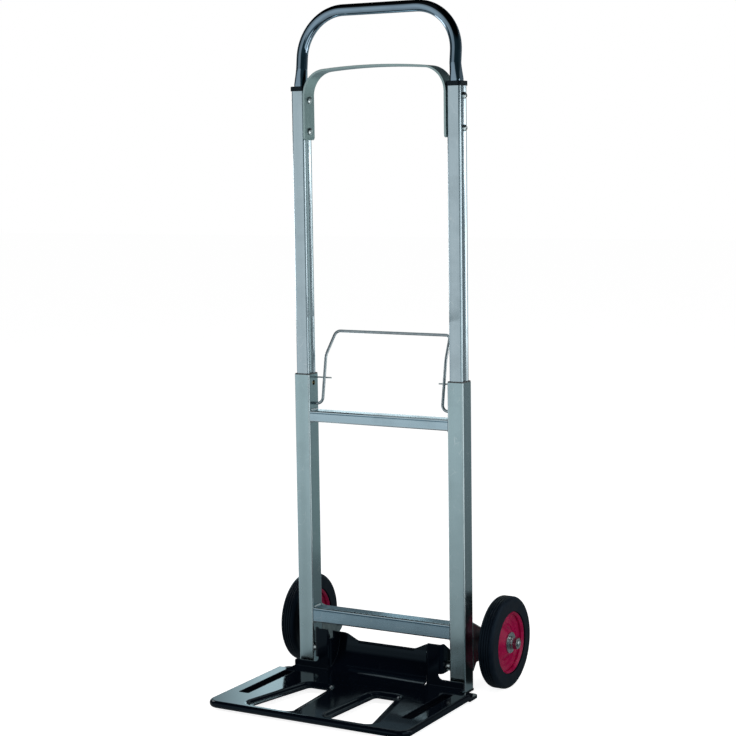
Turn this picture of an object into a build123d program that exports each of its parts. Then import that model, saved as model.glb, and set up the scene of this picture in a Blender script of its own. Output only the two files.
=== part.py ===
"""Folding sack truck: two welded box tubes, a telescoping handle, a hinged pressed toe plate and two wheels.

Millimetres. X runs across the truck, Y from the toe plate (front) to the wheels (back), Z up from the floor.
Each sub-part is drawn about the tubes' own plane, Y = 0, and is then shifted by TUBE_Y, so that the
origin lies on the floor under the middle of the whole truck.
"""
import os
from math import atan2, cos, degrees, hypot, radians, sin, sqrt, tan

from build123d import *

# Outer frame: two box tubes with crossbars welded between them
TUBE_SPACING = 283.0
OUTER_W = 28.0
OUTER_D = 30.0
OUTER_WALL = 1.4
OUTER_CORNER = 2.4
OUTER_BOTTOM = 8.0
OUTER_TOP = 506.0
UPPER_BAR_DROP = 59.0
UPPER_BAR_H = 18.5
UPPER_BAR_D = 24.0
LOWER_BAR_TOP = 115.5
LOWER_BAR_H = 25.0
LOWER_BAR_D = 26.0
BAR_WALL = 1.6
BAR_CORNER = 2.5
BAR_SETBACK = 1.0
BAR_GROOVE = 1.2
BAR_GROOVE_DROP = 4.0

# Plastic guide bush in each tube mouth and plug in each tube foot
BUSH_WALL = 0.7
BUSH_DEPTH = 7.5
BUSH_FLANGE = 1.8
BUSH_INSET = 0.3
FIT_GAP = 0.05
SLIDE_GAP = 0.2
PLUG_FLANGE = 3.0
PLUG_OVERHANG = 0.8
PLUG_DEPTH = 16.0

# Inner tubes, which slide in the outer ones and carry the handle
INNER_WALL = 1.4
INNER_CORNER = 3.6
INNER_GROOVE_W = 15.0
INNER_GROOVE = 1.5
INNER_OVERLAP = 65.0
SLIDER_FLANGE = 4.0
SLIDER_GAP = 0.3
SLIDER_DEPTH = 18.0
COLLAR_H = 7.5
COLLAR_SEAT = 3.0
COLLAR_OVERHANG = 1.7

# Handle loop: a bent round tube with its ends pressed to a rounded box
HANDLE_D = 18.6
HANDLE_WALL = 1.6
HANDLE_TOP = 1104.0
HANDLE_RISE = 133.0
HANDLE_BEND_R = 73.0
HANDLE_LEAN_DEG = 6.5
HANDLE_INSET = 2.0
STUB_D = 21.0
STUB_CORNER = 5.0
STUB_SINK = 83.0
STUB_STAND = 8.0
STUB_BLEND = 24.0

# Flat steel strap bolted across the inner tubes below the loop
STRAP_W = 30.0
STRAP_T = 3.5
STRAP_DROP = 82.0
STRAP_SHOULDER_DROP = 11.0
STRAP_CORNER_R = 40.0
STRAP_CROWN_DEG = 5.0
STRAP_END_R = 5.0
STRAP_BOLT_DROPS = (68.0, 18.0)
STRAP_BOLT_D = 6.0
STRAP_HEAD_D = 11.5
STRAP_HEAD_H = 3.2
STRAP_NUT_D = 10.5
STRAP_NUT_H = 5.7
BOLT_HOLE_GAP = 0.15

# Sprung lock button in the foot of each inner tube
LOCK_DROP = 14.0
LOCK_BUTTON_D = 7.6
LOCK_HOLE_GAP = 0.5
LOCK_BUTTON_GAP = 0.15
LOCK_FLANGE_D = 10.0
LOCK_FLANGE = 1.2
LOCK_CLEAR = 0.35
LOCK_TRAVEL = 3.0
SPRING_T = 0.8
SPRING_W = 8.0
SPRING_FOOT_GAP = 2.6

# Wire bail that leans back on two stop pins
BAIL_WIRE_D = 4.8
BAIL_PIVOT_DROP = 48.0
BAIL_LEG_GAP = 16.5
BAIL_KNEE_BACK = 13.4
BAIL_KNEE_RISE = 79.0
BAIL_TOP_INSET = 5.0
BAIL_TOP_BACK = 40.0
BAIL_TOP_RISE = 117.0
BAIL_FOOT_R = 10.0
BAIL_KNEE_R = 16.0
BAIL_CORNER_R = 9.0
BAIL_HOLE_GAP = 0.1
BAIL_END_SHY = 0.1
STOP_PIN_D = 2.4
STOP_PIN_RISE = 42.0
STOP_PIN_REACH = 28.0
STOP_PIN_GAP = 0.2

# Wheels on stub axles, carried by brackets behind the tubes
WHEEL_D = 150.0
TYRE_W = 27.0
TYRE_SHOULDER = 7.0
TREAD_GROOVES = 4
TREAD_GROOVE_W = 1.6
TREAD_GROOVE = 1.4
TREAD_PITCH = 4.2
RIM_D = 96.0
RIM_T = 1.8
RIM_LIP = 3.0
RIM_LIP_SETBACK = 2.5
RIM_WEB_R = 40.0
RIM_CONE_R = 30.0
RIM_SEAT_R = 18.0
RIM_SEAT_X = 9.0
HUB_D = 22.0
HUB_FLANGE_D = 34.0
HUB_FLANGE = 2.2
HUB_END = 1.0
BUSH_OD = 15.0
AXLE_D = 10.0
AXLE_GAP = 0.06
AXLE_BACK = 68.0
WHEEL_GAP = 16.5
AXLE_HEAD_AF = 17.0
AXLE_HEAD_H = 6.4
AXLE_NUT_AF = 17.0
AXLE_NUT_H = 8.0
AXLE_TAIL = 2.5
WASHER_D = 21.0
WASHER_T = 2.0
SPACER_D = 16.0
RUN_GAP = 0.3
BRACKET_T = 2.5
BRACKET_TOP = 118.0
BRACKET_FOOT = 36.0
BRACKET_BELLY = 48.0
BRACKET_BELLY_RUN = 11.0
BRACKET_END_R = 16.0
BRACKET_BEND_R = 5.0

# Pressed toe plate with its folded back wall
PLATE_W = 360.0
TOE_REACH = 260.0
SHEET = 2.5
PLATE_TOP = 16.5
PLATE_CORNER_R = 21.0
RIM_LIFT = 5.0
RIM_R = 5.5
RIM_HEM = 12.0
SOLE_SETBACK = 21.0
SOLE_W = 12.0
POCKET_FLOOR = 11.5
POCKET_MARGIN = 6.0
POCKET_CREST_R = 8.0
POCKET_ROOT_R = 5.0
CUT_NOSE = 23.5
CUT_REAR = 108.0
CUT_RIM = 72.0
CUT_REAR_RIM = 101.0
CUT_SPINE = 34.0
CUT_REAR_SPINE = 43.0
CUT_CORNER_R = 7.0
SLOT_RIM = 32.5
SLOT_W = 18.5
SLOT_NOSE = 62.0
SLOT_REAR = 58.0
SLOT_DEPTH = 8.0
SLOT_CORNER_R = 3.0
WALL_FOOT = 46.0
WALL_TOP_Y = 5.0
WALL_TOP = 62.0
WALL_DIP_INSET = 37.75
WALL_DIP_R = 28.0
HORN_TOP = 73.5
HORN_INSET = 13.75
HEM_R = 2.2
EAR_FRONT = 26.0
EAR_TOP = 84.0
EAR_W = 28.5
CHEEK_GAP = 8.0
CHEEK_BOTTOM = 36.0
CHEEK_END_R = 10.5
CHEEK_BRIDGE = 9.0
CHEEK_REAR_DROP = 14.0
WALL_BEND_R = 6.5
NOTCH_TOP_W = 8.0
NOTCH_W = 3.0
NOTCH_BOTTOM = 69.0
LIP_TOP = 27.0
LIP_OUTER_OVER = 2.5
LIP_SWEEP_R = 8.5
LIP_END_R = 3.0
SIDE_TAIL_REAR = 14.0
SIDE_TAIL_H = 4.0
SIDE_TAIL_R = 10.0

# Toe plate pivots, riveted into the tubes' inner walls
PIVOT_Y = -7.0
PIVOT_Z = 46.5
PIVOT_D = 8.0
PIVOT_GAP = 0.08
PIVOT_HEAD_D = 15.0
PIVOT_HEAD = 3.0
PIVOT_TAIL_D = 12.5
PIVOT_TAIL = 2.2
PIVOT_SPACER_D = 16.0

# Places worked out from the sizes above
TUBE_X = TUBE_SPACING / 2
TUBE_IN = TUBE_X - OUTER_W / 2
TUBE_OUT = TUBE_X + OUTER_W / 2
UPPER_BAR_TOP = OUTER_TOP - UPPER_BAR_DROP
INNER_TOP = HANDLE_TOP - HANDLE_RISE
INNER_BOTTOM = OUTER_TOP - INNER_OVERLAP
CAVITY_W = OUTER_W - 2 * OUTER_WALL
CAVITY_D = OUTER_D - 2 * OUTER_WALL
INNER_W = CAVITY_W - 2 * (BUSH_WALL + SLIDE_GAP)
INNER_D = CAVITY_D - 2 * (BUSH_WALL + SLIDE_GAP)
INNER_IN = TUBE_X - INNER_W / 2
INNER_OUT = TUBE_X + INNER_W / 2
THROAT_W = INNER_W - 2 * (INNER_GROOVE + INNER_WALL)
THROAT_D = INNER_D - 2 * INNER_WALL
GROOVE_R = (INNER_GROOVE_W ** 2 / 4 + INNER_GROOVE ** 2) / (2 * INNER_GROOVE)
NUT_SEAT = INNER_OUT - INNER_GROOVE + GROOVE_R - sqrt(GROOVE_R ** 2 - STRAP_NUT_D ** 2 / 4)
STUB_W = THROAT_W - 2 * FIT_GAP
HANDLE_Z = HANDLE_TOP - HANDLE_D / 2
STUB_TOP = INNER_TOP + STUB_STAND
STUB_BOTTOM = INNER_TOP - STUB_SINK
STRAP_BOTTOM = INNER_TOP - STRAP_DROP
STRAP_SHOULDER = INNER_TOP - STRAP_SHOULDER_DROP
STRAP_BOLT_Z = [INNER_TOP - drop for drop in STRAP_BOLT_DROPS]
LOCK_Z = OUTER_TOP - LOCK_DROP
SPRING_FOOT = INNER_BOTTOM + SLIDER_DEPTH + SPRING_FOOT_GAP + SPRING_T / 2
BAIL_PIVOT_Z = OUTER_TOP - BAIL_PIVOT_DROP
BAIL_LEG_X = TUBE_IN - BAIL_LEG_GAP
STOP_PIN_Z = BAIL_PIVOT_Z + STOP_PIN_RISE
STRAP_X = INNER_IN - STRAP_T / 2
WHEEL_X = TUBE_OUT + WHEEL_GAP + TYRE_W / 2
WHEEL_R = WHEEL_D / 2
HUB_HALF = TYRE_W / 2 + HUB_END
TUBE_Y = (TOE_REACH - AXLE_BACK - WHEEL_R) / 2
PLATE_HALF = PLATE_W / 2
CHEEK_OUT = TUBE_IN - CHEEK_GAP
CHEEK_IN = CHEEK_OUT - SHEET
CHEEK_X = CHEEK_OUT - SHEET / 2
EAR_INNER_X = CHEEK_X - EAR_W
HORN_X = EAR_INNER_X - HORN_INSET
WALL_TOP_X = EAR_INNER_X - WALL_DIP_INSET
EAR_EDGE_X = CHEEK_X - WALL_BEND_R
LIP_OUTER_X = TUBE_OUT + LIP_OUTER_OVER
CUT_FRONT = TOE_REACH - CUT_NOSE
SLOT_FRONT = TOE_REACH - SLOT_NOSE
SLOT_X = PLATE_HALF - SLOT_RIM
SCOOP_RUN = WALL_FOOT + WALL_TOP_Y
SCOOP_RISE = WALL_TOP - PLATE_TOP
SCOOP_R = (SCOOP_RUN ** 2 + SCOOP_RISE ** 2) / (2 * SCOOP_RISE)
BIG = 400.0


def rod_x(diameter, x0, x1, y, z):
    """A round bar along X."""
    return extrude(Plane.YZ.offset(x0) * Pos(y, z) * Circle(diameter / 2), x1 - x0)


def slab_x(points, x0, x1):
    """A flat plate across X, cut to an outline of (y, z) points."""
    return extrude(Plane.YZ.offset(x0) * make_face(Polyline(*points, close=True)), x1 - x0)


def slab_y(points, y0, y1):
    """A flat plate across Y, cut to an outline of (x, z) points."""
    return extrude(Plane.XZ.offset(-y0) * make_face(Polyline(*points, close=True)), y0 - y1)


def spun_x(points, x, y, z):
    """A turned part about an axle along X, from an outline of (distance along X, radius) points."""
    profile = make_face(Polyline(*points, close=True))
    return Pos(x, y, z) * revolve(Plane.XY * profile, Axis.X)


def left(part):
    """The left-hand twin of a right-hand part."""
    return mirror(part, about=Plane.YZ)


def box_section(width, depth, corner):
    return RectangleRounded(width, depth, corner)


def outer_tube():
    """Right outer tube, with the holes in its inner wall."""
    section = box_section(OUTER_W, OUTER_D, OUTER_CORNER)
    section -= box_section(CAVITY_W, CAVITY_D, OUTER_CORNER - OUTER_WALL)
    tube = Pos(TUBE_X, 0, OUTER_BOTTOM) * extrude(section, OUTER_TOP - OUTER_BOTTOM)
    wall = (TUBE_IN - OUTER_WALL, TUBE_IN + 2 * OUTER_WALL)
    tube -= rod_x(LOCK_BUTTON_D + 2 * LOCK_HOLE_GAP, *wall, 0, LOCK_Z)
    tube -= rod_x(BAIL_WIRE_D + 2 * BAIL_HOLE_GAP, *wall, 0, BAIL_PIVOT_Z)
    tube -= rod_x(STOP_PIN_D, *wall, stop_pin_y(), STOP_PIN_Z)
    tube -= rod_x(PIVOT_D, *wall, PIVOT_Y, PIVOT_Z)
    return tube


def crossbar(top, height, depth):
    """A box bar between the tubes, with a fine groove along the top of its front face."""
    section = box_section(depth, height, BAR_CORNER)
    section -= box_section(depth - 2 * BAR_WALL, height - 2 * BAR_WALL, BAR_CORNER - BAR_WALL)
    vee = Rotation(0, 0, 45) * Rectangle(BAR_GROOVE, BAR_GROOVE)
    section -= Pos(-depth / 2, height / 2 - BAR_GROOVE_DROP) * vee
    middle = (BAR_SETBACK - OUTER_D / 2 + depth / 2, top - height / 2)
    return extrude(Plane.YZ.offset(-TUBE_IN) * Pos(*middle) * section, 2 * TUBE_IN)


def guide_bush():
    """Plastic bush in the mouth of the right outer tube, round the inner tube."""
    mouth = box_section(INNER_W + 2 * SLIDE_GAP, INNER_D + 2 * SLIDE_GAP, INNER_CORNER)
    flange = box_section(OUTER_W - 2 * BUSH_INSET, OUTER_D - 2 * BUSH_INSET, OUTER_CORNER) - mouth
    sleeve = box_section(CAVITY_W - 2 * FIT_GAP, CAVITY_D - 2 * FIT_GAP, OUTER_CORNER - OUTER_WALL) - mouth
    bush = Pos(TUBE_X, 0, OUTER_TOP) * extrude(flange, BUSH_FLANGE)
    return bush + Pos(TUBE_X, 0, OUTER_TOP - BUSH_DEPTH) * extrude(sleeve, BUSH_DEPTH)


def foot_plug():
    """Ribbed plug in the foot of the right outer tube."""
    sole = box_section(OUTER_W + 2 * PLUG_OVERHANG, OUTER_D + 2 * PLUG_OVERHANG, OUTER_CORNER)
    plug = Pos(TUBE_X, 0, OUTER_BOTTOM - PLUG_FLANGE) * extrude(sole, PLUG_FLANGE)
    spigot = box_section(CAVITY_W - 2 * FIT_GAP, CAVITY_D - 2 * FIT_GAP, OUTER_CORNER - OUTER_WALL)
    spigot -= box_section(CAVITY_W - 4 * OUTER_WALL, CAVITY_D - 4 * OUTER_WALL, OUTER_CORNER - OUTER_WALL)
    return plug + Pos(TUBE_X, 0, OUTER_BOTTOM) * extrude(spigot, PLUG_DEPTH)


def inner_section():
    """Section of an inner tube: a rounded box with a shallow round groove down each side."""
    outside = box_section(INNER_W, INNER_D, INNER_CORNER)
    inside = box_section(INNER_W - 2 * INNER_WALL, THROAT_D, INNER_CORNER - INNER_WALL)
    for side in (1, -1):
        middle = Pos(side * (INNER_W / 2 - INNER_GROOVE + GROOVE_R))
        outside -= middle * Circle(GROOVE_R)
        inside -= middle * Circle(GROOVE_R + INNER_WALL)
    return outside - inside


def inner_tube():
    """Right inner tube, drilled for the strap bolts and the lock button."""
    tube = Pos(TUBE_X, 0, INNER_BOTTOM) * extrude(inner_section(), INNER_TOP - INNER_BOTTOM)
    for z in STRAP_BOLT_Z:
        tube -= rod_x(STRAP_BOLT_D + 2 * BOLT_HOLE_GAP, INNER_IN - 1, INNER_OUT + 1, 0, z)
    return tube - rod_x(LOCK_BUTTON_D + 2 * LOCK_BUTTON_GAP, INNER_IN - 1, TUBE_X, 0, LOCK_Z)


def slider_plug():
    """Plastic foot of the right inner tube, which guides it inside the outer one."""
    foot = box_section(CAVITY_W - 2 * SLIDER_GAP, CAVITY_D - 2 * SLIDER_GAP, OUTER_CORNER - OUTER_WALL)
    plug = Pos(TUBE_X, 0, INNER_BOTTOM - SLIDER_FLANGE) * extrude(foot, SLIDER_FLANGE)
    spigot = box_section(THROAT_W - 2 * FIT_GAP, THROAT_D - 2 * FIT_GAP, INNER_CORNER - INNER_WALL)
    return plug + Pos(TUBE_X, 0, INNER_BOTTOM) * extrude(spigot, SLIDER_DEPTH)


def end_collar():
    """Plastic collar on the top of the right inner tube, round the handle's end and flush with the strap."""
    grow = 2 * COLLAR_OVERHANG
    shell = box_section(INNER_W + grow, INNER_D + grow, INNER_CORNER + COLLAR_OVERHANG)
    collar = Pos(TUBE_X, 0, INNER_TOP - COLLAR_SEAT) * extrude(shell, COLLAR_H)
    collar = fillet(collar.edges().group_by(Axis.Z)[-1], COLLAR_OVERHANG / 2)
    seat = box_section(INNER_W + 2 * FIT_GAP, INNER_D + 2 * FIT_GAP, INNER_CORNER)
    collar -= Pos(TUBE_X, 0, INNER_TOP - COLLAR_SEAT) * extrude(seat, COLLAR_SEAT)
    collar -= Pos(INNER_IN - COLLAR_OVERHANG, 0, INNER_TOP) * Box(2 * COLLAR_OVERHANG, BIG, BIG)
    return collar - Pos(TUBE_X, 0, INNER_TOP - COLLAR_SEAT) * extrude(stub_section(FIT_GAP), 2 * COLLAR_H)


def stub_section(grow):
    return box_section(STUB_W + 2 * grow, STUB_D + 2 * grow, STUB_CORNER + grow)


def handle_form(shrink):
    """The bent loop, which leans back, and its two upright pressed ends, drawn in by shrink all round."""
    lean = radians(HANDLE_LEAN_DEG)
    leg_x = TUBE_X - HANDLE_INSET
    loop_bottom = STUB_TOP + STUB_BLEND
    reach = (HANDLE_Z - loop_bottom) / cos(lean)
    loop_plane = Plane(origin=(0, 0, loop_bottom), x_dir=(1, 0, 0), z_dir=(0, -cos(lean), sin(lean)))
    path = loop_plane * FilletPolyline(
        (-leg_x, 0), (-leg_x, reach), (leg_x, reach), (leg_x, 0), radius=HANDLE_BEND_R)
    ring = Rotation(-HANDLE_LEAN_DEG, 0, 0) * Circle(HANDLE_D / 2 - shrink)
    bar = sweep(Pos(-leg_x, 0, loop_bottom) * ring, path)
    for side in (1, -1):
        square = Pos(side * TUBE_X, 0, STUB_TOP) * stub_section(-shrink)
        bar += loft([square, Pos(side * leg_x, 0, loop_bottom) * ring])
        bar += Pos(side * TUBE_X, 0, STUB_BOTTOM) * extrude(stub_section(-shrink), STUB_TOP - STUB_BOTTOM)
    return bar


def handle_loop():
    """Hollow handle loop, drilled for the strap bolts."""
    loop = handle_form(0) - handle_form(HANDLE_WALL)
    for z in STRAP_BOLT_Z:
        loop -= rod_x(STRAP_BOLT_D + 2 * BOLT_HOLE_GAP, -INNER_OUT, INNER_OUT, 0, z)
    return loop


def strap():
    """Flat strap bent to a shallow arch: straight legs, rounded shoulders and a slightly crowned top."""
    crown = radians(STRAP_CROWN_DEG)
    reach = STRAP_X - STRAP_CORNER_R
    crown_r = STRAP_CORNER_R + reach / sin(crown)
    leg = Line((STRAP_X, STRAP_BOTTOM), (STRAP_X, STRAP_SHOULDER))
    shoulder = CenterArc((reach, STRAP_SHOULDER), STRAP_CORNER_R, 0, 90 - STRAP_CROWN_DEG)
    crown_z = STRAP_SHOULDER - (crown_r - STRAP_CORNER_R) * cos(crown)
    top = CenterArc((0, crown_z), crown_r, 90 - STRAP_CROWN_DEG, STRAP_CROWN_DEG)
    half = extrude(Plane.XZ * trace(leg + shoulder + top, STRAP_T), STRAP_W / 2, both=True)
    half &= Pos(BIG / 2, 0, STRAP_SHOULDER) * Box(BIG, BIG, BIG)
    ends = half.edges().filter_by(Axis.X).group_by(Axis.Z)[0]
    half = fillet(ends, STRAP_END_R)
    for z in STRAP_BOLT_Z:
        half -= rod_x(STRAP_BOLT_D + 2 * BOLT_HOLE_GAP, STRAP_X - STRAP_T, INNER_IN + 1, 0, z)
    return half + left(half)


def strap_bolt(z):
    """Pan-head bolt through strap, inner tube and handle end."""
    head_x = INNER_IN - STRAP_T
    length = NUT_SEAT + STRAP_NUT_H - 1 - head_x
    outline = [(-STRAP_HEAD_H, 0), (-STRAP_HEAD_H, STRAP_HEAD_D / 4), (-STRAP_HEAD_H / 2, STRAP_HEAD_D / 2),
               (0, STRAP_HEAD_D / 2), (0, STRAP_BOLT_D / 2), (length, STRAP_BOLT_D / 2), (length, 0)]
    return spun_x(outline, head_x, 0, z)


def strap_nut(z):
    """Domed nut in the groove on the outer side of the inner tube, over the end of the bolt."""
    bore = STRAP_BOLT_D / 2 + FIT_GAP
    outline = [(0, bore), (0, STRAP_NUT_D / 2), (STRAP_NUT_H * 0.55, STRAP_NUT_D / 2),
               (STRAP_NUT_H * 0.85, STRAP_NUT_D / 3), (STRAP_NUT_H, bore)]
    return spun_x(outline, NUT_SEAT, 0, z)


def lock_button():
    """Domed button that shows in the outer tube's lock hole."""
    tip = TUBE_IN + OUTER_WALL + LOCK_CLEAR
    root = INNER_IN + INNER_GROOVE + INNER_WALL
    button = rod_x(LOCK_BUTTON_D, tip, root, 0, LOCK_Z)
    button = fillet(button.edges().group_by(Axis.X)[0], LOCK_BUTTON_D * 0.3)
    return button + rod_x(LOCK_FLANGE_D, root + FIT_GAP, root + FIT_GAP + LOCK_FLANGE, 0, LOCK_Z) + rod_x(
        LOCK_BUTTON_D, root, root + FIT_GAP, 0, LOCK_Z)


def lock_spring():
    """Hairpin leaf spring between the button and the far side of the inner tube."""
    near = INNER_IN + INNER_GROOVE + INNER_WALL + FIT_GAP + LOCK_FLANGE + SPRING_T / 2 + FIT_GAP
    far = INNER_OUT - INNER_GROOVE - INNER_WALL - SPRING_T / 2 - FIT_GAP
    bend = (far - near) / 2 - FIT_GAP
    path = FilletPolyline((near, LOCK_Z + SPRING_W / 2), (near, SPRING_FOOT), (far, SPRING_FOOT),
                          (far, LOCK_Z + SPRING_W / 2), radius=bend)
    return extrude(Plane.XZ * trace(path, SPRING_T), SPRING_W / 2, both=True)


def bail():
    """One bent wire: pivots in the tubes, leaning legs, and a top bar kinked further back."""
    end = TUBE_IN + OUTER_WALL - BAIL_END_SHY
    half = [(end, 0, BAIL_PIVOT_Z), (BAIL_LEG_X, 0, BAIL_PIVOT_Z),
            (BAIL_LEG_X, BAIL_KNEE_BACK, BAIL_PIVOT_Z + BAIL_KNEE_RISE),
            (BAIL_LEG_X - BAIL_TOP_INSET, BAIL_TOP_BACK, BAIL_PIVOT_Z + BAIL_TOP_RISE)]
    other = [(-x, y, z) for x, y, z in reversed(half)]
    radii = [BAIL_FOOT_R, BAIL_KNEE_R, BAIL_CORNER_R]
    path = FilletPolyline(*half, *other, radius=radii + radii[::-1])
    return sweep(Plane.YZ.offset(end) * Pos(0, BAIL_PIVOT_Z) * Circle(BAIL_WIRE_D / 2), path)


def stop_pin_y():
    """Where a stop pin stands so that the leaning bail just clears it."""
    lean = atan2(BAIL_KNEE_BACK, BAIL_KNEE_RISE)
    clear = (BAIL_WIRE_D + STOP_PIN_D) / 2 + STOP_PIN_GAP
    return STOP_PIN_RISE * tan(lean) + clear / cos(lean)


def stop_pin():
    pin = rod_x(STOP_PIN_D, TUBE_IN - STOP_PIN_REACH, TUBE_IN + OUTER_WALL, stop_pin_y(), STOP_PIN_Z)
    return chamfer(pin.edges().group_by(Axis.X)[0], STOP_PIN_D / 5)


def wheel_bracket():
    """Pressed channel behind the right tube: two cheeks joined along the top, with an axle hole."""
    rear = AXLE_BACK + BRACKET_END_R
    face = OUTER_D / 2
    outline = [(face, BRACKET_FOOT), (face + BRACKET_BELLY_RUN, BRACKET_BELLY),
               (AXLE_BACK, BRACKET_BELLY), (rear, WHEEL_R - BRACKET_END_R),
               (rear, WHEEL_R + BRACKET_END_R / 2), (face, BRACKET_TOP)]
    solid = slab_x(outline, TUBE_IN, TUBE_OUT)
    solid = fillet(solid.edges().filter_by(Axis.X).group_by(Axis.Y)[-1], BRACKET_END_R / 2)
    bends = [e for e in solid.edges() if e.center().Z > (WHEEL_R + BRACKET_TOP) / 2]
    bends = [e for e in bends if e.length > AXLE_BACK / 2]
    bends = [e for e in bends if abs(abs(e.center().X - TUBE_X) - OUTER_W / 2) < 0.1]
    solid = fillet(bends, BRACKET_BEND_R)
    slope = (BRACKET_TOP - WHEEL_R - BRACKET_END_R / 2) / (rear - face)
    under = [(face - 1, 0), (rear + 1, 0), (rear + 1, BRACKET_TOP - slope * (rear + 1 - face) - BRACKET_T),
             (face - 1, BRACKET_TOP + slope - BRACKET_T)]
    solid -= slab_x(under, TUBE_IN + BRACKET_T, TUBE_OUT - BRACKET_T)
    return solid - rod_x(AXLE_D + 2 * BOLT_HOLE_GAP, TUBE_IN - 1, TUBE_OUT + 1, AXLE_BACK, WHEEL_R)


def hexagon_x(across_flats, x0, x1):
    """A hexagonal prism on the axle line."""
    section = RegularPolygon(across_flats / 2, 6, major_radius=False)
    return extrude(Plane.YZ.offset(x0) * Pos(AXLE_BACK, WHEEL_R) * section, x1 - x0)


def axle_bolt():
    tail = WHEEL_X + HUB_HALF + RUN_GAP + WASHER_T + AXLE_NUT_H + AXLE_TAIL
    shank = rod_x(AXLE_D, TUBE_IN, tail, AXLE_BACK, WHEEL_R)
    shank = chamfer(shank.edges().group_by(Axis.X)[-1], AXLE_D / 10)
    return hexagon_x(AXLE_HEAD_AF, TUBE_IN - AXLE_HEAD_H, TUBE_IN) + shank


def axle_spacer():
    """Sleeve between the bracket and the wheel's hub."""
    bore = AXLE_D / 2 + BOLT_HOLE_GAP
    end = WHEEL_X - HUB_HALF - RUN_GAP
    outline = [(TUBE_OUT, bore), (TUBE_OUT, SPACER_D / 2), (end, SPACER_D / 2), (end, bore)]
    return spun_x(outline, 0, AXLE_BACK, WHEEL_R)


def axle_washer():
    start = WHEEL_X + HUB_HALF + RUN_GAP
    bore = AXLE_D / 2 + BOLT_HOLE_GAP
    end = start + WASHER_T
    outline = [(start, bore), (start, WASHER_D / 2), (end, WASHER_D / 2), (end, bore)]
    return spun_x(outline, 0, AXLE_BACK, WHEEL_R)


def axle_nut():
    start = WHEEL_X + HUB_HALF + RUN_GAP + WASHER_T
    nut = hexagon_x(AXLE_NUT_AF, start, start + AXLE_NUT_H)
    return nut - rod_x(AXLE_D + 2 * FIT_GAP, start, start + AXLE_NUT_H, AXLE_BACK, WHEEL_R)


def tyre():
    """Solid rubber tyre: flat tread with fine grooves, rounded shoulders and a bead that fits the rim."""
    half = TYRE_W / 2
    seat = RIM_D / 2
    bead = half - RIM_LIP_SETBACK
    toe = seat + RIM_LIP
    section = make_face(Polyline((-half, toe), (-half, WHEEL_R), (half, WHEEL_R), (half, toe), (bead, toe),
                                 (bead - RIM_LIP, seat), (RIM_LIP - bead, seat), (-bead, toe), close=True))
    section = fillet(section.vertices().group_by(Axis.Y)[-1], TYRE_SHOULDER)
    for i in range(TREAD_GROOVES):
        x = (i - (TREAD_GROOVES - 1) / 2) * TREAD_PITCH
        section -= Pos(x, WHEEL_R) * Rectangle(TREAD_GROOVE_W, 2 * TREAD_GROOVE)
    return Pos(WHEEL_X, AXLE_BACK, WHEEL_R) * revolve(Plane.XY * section, Axis.X)


def rim_half(side):
    """One pressed half of the rim: lip, tyre seat, flat web and a cone up to the hub flange."""
    seat = RIM_D / 2 - FIT_GAP
    lip_x = TYRE_W / 2 - RIM_LIP_SETBACK
    web_x = RIM_T / 2 + FIT_GAP
    path = Polyline((lip_x, seat + RIM_LIP - RIM_T / 2), (lip_x - RIM_LIP, seat - RIM_T / 2),
                    (RIM_T * 2, seat - RIM_T / 2), (web_x, RIM_WEB_R), (web_x, RIM_CONE_R),
                    (RIM_SEAT_X, RIM_SEAT_R), (RIM_SEAT_X, HUB_D / 2 + FIT_GAP))
    disc = revolve(Plane.XY * trace(path, RIM_T), Axis.X)
    seat_line = spun_x([(0, 0), (0, seat), (lip_x - RIM_LIP, seat), (lip_x + RIM_T, seat + RIM_LIP + RIM_T),
                        (lip_x + RIM_T, 0)], 0, 0, 0)
    disc = (disc & seat_line) - rod_x(HUB_D + 2 * FIT_GAP, -BIG, BIG, 0, 0)
    disc = disc if side > 0 else mirror(disc, about=Plane.YZ)
    return Pos(WHEEL_X, AXLE_BACK, WHEEL_R) * disc


def hub():
    """Turned hub tube with a flange on the face of each rim half."""
    face = RIM_SEAT_X + RIM_T / 2 + FIT_GAP
    bore = BUSH_OD / 2 + FIT_GAP
    outline = [(-HUB_HALF, bore), (-HUB_HALF, HUB_D / 2), (-face - HUB_FLANGE, HUB_D / 2),
               (-face - HUB_FLANGE, HUB_FLANGE_D / 2), (-face, HUB_FLANGE_D / 2), (-face, HUB_D / 2),
               (face, HUB_D / 2), (face, HUB_FLANGE_D / 2), (face + HUB_FLANGE, HUB_FLANGE_D / 2),
               (face + HUB_FLANGE, HUB_D / 2), (HUB_HALF, HUB_D / 2), (HUB_HALF, bore)]
    return spun_x(outline, WHEEL_X, AXLE_BACK, WHEEL_R)


def wheel_bush():
    """Plastic bearing sleeve in the hub."""
    outline = [(-HUB_HALF, AXLE_D / 2 + AXLE_GAP), (-HUB_HALF, BUSH_OD / 2), (HUB_HALF, BUSH_OD / 2),
               (HUB_HALF, AXLE_D / 2 + AXLE_GAP)]
    return spun_x(outline, WHEEL_X, AXLE_BACK, WHEEL_R)


def toe_pivot():
    """Shouldered rivet that carries the toe plate's cheek on the right tube's inner wall."""
    head = CHEEK_IN - RUN_GAP
    tail = TUBE_IN + OUTER_WALL
    outline = [(head - PIVOT_HEAD, 0), (head - PIVOT_HEAD, PIVOT_HEAD_D / 4),
               (head - PIVOT_HEAD / 2, PIVOT_HEAD_D / 2), (head, PIVOT_HEAD_D / 2), (head, PIVOT_D / 2),
               (tail, PIVOT_D / 2), (tail, PIVOT_TAIL_D / 2), (tail + PIVOT_TAIL, PIVOT_TAIL_D / 3),
               (tail + PIVOT_TAIL, 0)]
    return spun_x(outline, 0, PIVOT_Y, PIVOT_Z)


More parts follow.
